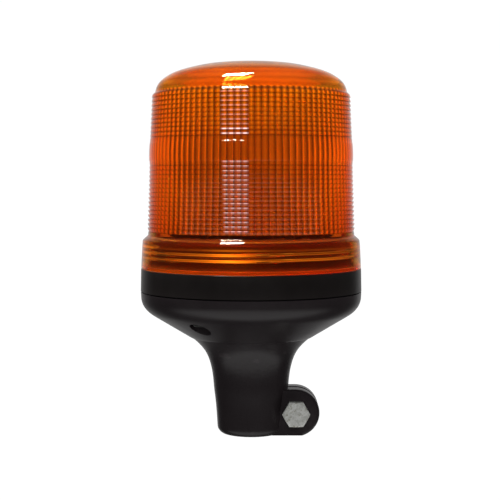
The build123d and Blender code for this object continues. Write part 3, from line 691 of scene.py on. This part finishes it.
def sliced_copy(node, name):
    """The same surface, cut into thin level slices so that it can bend."""
    ob = linked_copy(node, name)
    bm = bmesh.new()
    bm.from_mesh(ob.data)
    bmesh.ops.remove_doubles(bm, verts=bm.verts, dist=1e-7)
    step = SLICES["step"]
    for z in np.arange(SLICES["low"], SLICES["high"] + step * 0.5, step):
        bmesh.ops.bisect_plane(bm, geom=bm.verts[:] + bm.edges[:] + bm.faces[:],
                               plane_co=(0, 0, float(z)), plane_no=(0, 0, 1), dist=1e-8)
    bm.to_mesh(ob.data)
    bm.free()
    attributes = ob.data.attributes
    if "custom_normal" in attributes:
        attributes.remove(attributes["custom_normal"])
    smooth(ob.data, sharp=32)
    return ob


for node, name, slot in (("flex_mount", "flex_mount_rubber", "mount_rubber"),
                         ("feed_wire", "feed_wire_bending", SLOT["feed_wire"]),
                         ("earth_wire", "earth_wire_bending", SLOT["earth_wire"])):
    bent = sliced_copy(node, name)
    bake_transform(bent, "socket", "head", start=BEND_START, end=BEND_END)
    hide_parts(node)

# the contact's spring shortens as the pin is pushed in: its upper end stays on its seat,
# its lower end goes with the pin
coil = linked_copy("contact_spring", "contact_spring_coil")
heights = [v.co.z for v in coil.data.vertices]
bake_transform(coil, "socket", "contact", start=(0, 0, max(heights) - COIL_END),
         end=(0, 0, min(heights) + COIL_END))
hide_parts("contact_spring")


# ======================================= studio =======================================
scene = bpy.context.scene
scene.view_settings.view_transform = "Standard"
scene.view_settings.look = "None"
cycles = scene.cycles
cycles.use_denoising = True
cycles.max_bounces = 16
cycles.transmission_bounces = 14
cycles.glossy_bounces = 6
cycles.transparent_max_bounces = 16
cycles.caustics_refractive = True
cycles.caustics_reflective = True
cycles.blur_glossy = 0.2


def build_world():
    world = bpy.data.worlds.new("studio")
    scene.world = world
    w = Nodes(world, "ShaderNodeOutputWorld")
    direction = w.node("ShaderNodeTexCoord").outputs["Generated"]
    rise = w.xyz(direction)[2]
    # the white backdrop stands behind the object as seen from the camera, whatever its side
    seen = w.output("ShaderNodeVectorTransform", _vector_type="VECTOR", _convert_from="WORLD",
                    _convert_to="CAMERA", Vector=direction)
    away = w.xyz(seen)[2]
    backdrop = w.remap(away, span=(0.62, 0.93))
    backdrop = w.mul(backdrop, backdrop)
    # dimmer where it is mirrored
    strength = w.sub(0.95, w.mul(w.light_path("Is Glossy Ray"), 0.42))
    level = w.add(0.03, w.mul(backdrop, strength))
    overhead = w.remap(rise, span=(0.45, 0.95))
    level = w.add(level, w.mul(overhead, 0.06))
    # pale light from well below: a soft band on everything that leans downwards
    below = w.mul(w.remap(rise, span=(-0.60, -0.44), to=(1.0, 0.0)),
                  w.remap(away, span=(0.04, 0.18), to=(1.0, 0.0)))
    level = w.add(level, w.mul(below, 0.62))
    studio = w.output("ShaderNodeBackground", Color=(1.0, 0.995, 0.99), Strength=level)
    plain = w.output("ShaderNodeBackground", Color=(1, 1, 1), Strength=1.02)
    w.done(w.mix_shader(w.light_path("Is Camera Ray"), studio, plain))


def build_floor():
    """A pale disc that the camera sees from above only; all other rays pass through."""
    bpy.ops.mesh.primitive_circle_add(vertices=96, radius=3.0, fill_type="NGON",
                                      location=(0, 0, -0.0005))
    floor = bpy.context.object
    floor.name = "floor"
    m = new_material("floor_pale")
    color = m.mix(m.noise(scale=6, detail=3), (0.86, 0.86, 0.86), (0.90, 0.90, 0.90))
    pale = m.output("ShaderNodeEmission", Color=color, Strength=1.2)
    clear = m.output("ShaderNodeBsdfTransparent", Color=(1, 1, 1))
    above = m.sub(1.0, m.node("ShaderNodeNewGeometry").outputs["Backfacing"])
    visible = m.mul(m.light_path("Is Camera Ray"), above)
    floor.data.materials.append(m.done(m.mix_shader(visible, clear, pale)))


def area_light(name, location, rotation, size, size_y, power):
    light = bpy.data.lights.new(name, "AREA")
    light.shape = "RECTANGLE"
    light.size = size
    light.size_y = size_y
    light.energy = power
    ob = bpy.data.objects.new(name, light)
    scene.collection.objects.link(ob)
    ob.location = location
    ob.rotation_euler = rotation
    return ob


def build_lights():
    # overhead softbox: bright bars side by side, facing down
    for k in range(BARS["count"]):
        x = BARS["x"] + (k - (BARS["count"] - 1) / 2) * BARS["pitch"]
        area_light(f"overhead_bar_{k + 1}", location=(x, BARS["y"], BARS["z"]),
                   rotation=(0, 0, math.radians(BARS["turn"])),
                   size=BARS["width"], size_y=BARS["length"], power=4.8)
    # broad fills from every side, unseen in reflections: they only lift the matt faces
    distance, height, target = 1.5, 0.75, Vector((0, 0, 0.1))
    for k in range(3):
        angle = math.radians(-90 + 120 * k)
        place = Vector((distance * math.cos(angle), distance * math.sin(angle), height))
        aim = (target - place).to_track_quat("-Z", "Y").to_euler()
        fill = area_light(f"soft_fill_{k + 1}", location=place, rotation=aim,
                          size=1.0, size_y=1.0, power=7)
        fill.visible_glossy = False
        fill.visible_transmission = False
        fill.visible_camera = False


def build_camera():
    lens_data = bpy.data.cameras.new("camera")
    lens_data.sensor_width = 36.0
    lens_data.lens = 92.3
    lens_data.clip_start, lens_data.clip_end = 0.01, 20
    camera = bpy.data.objects.new("camera", lens_data)
    scene.collection.objects.link(camera)
    camera.location = (-0.0006, -0.691, 0.1373)
    tilt_down = 3.17
    camera.rotation_euler = (math.radians(90 - tilt_down), 0, 0)
    scene.camera = camera


build_world()
build_floor()
build_lights()
build_camera()
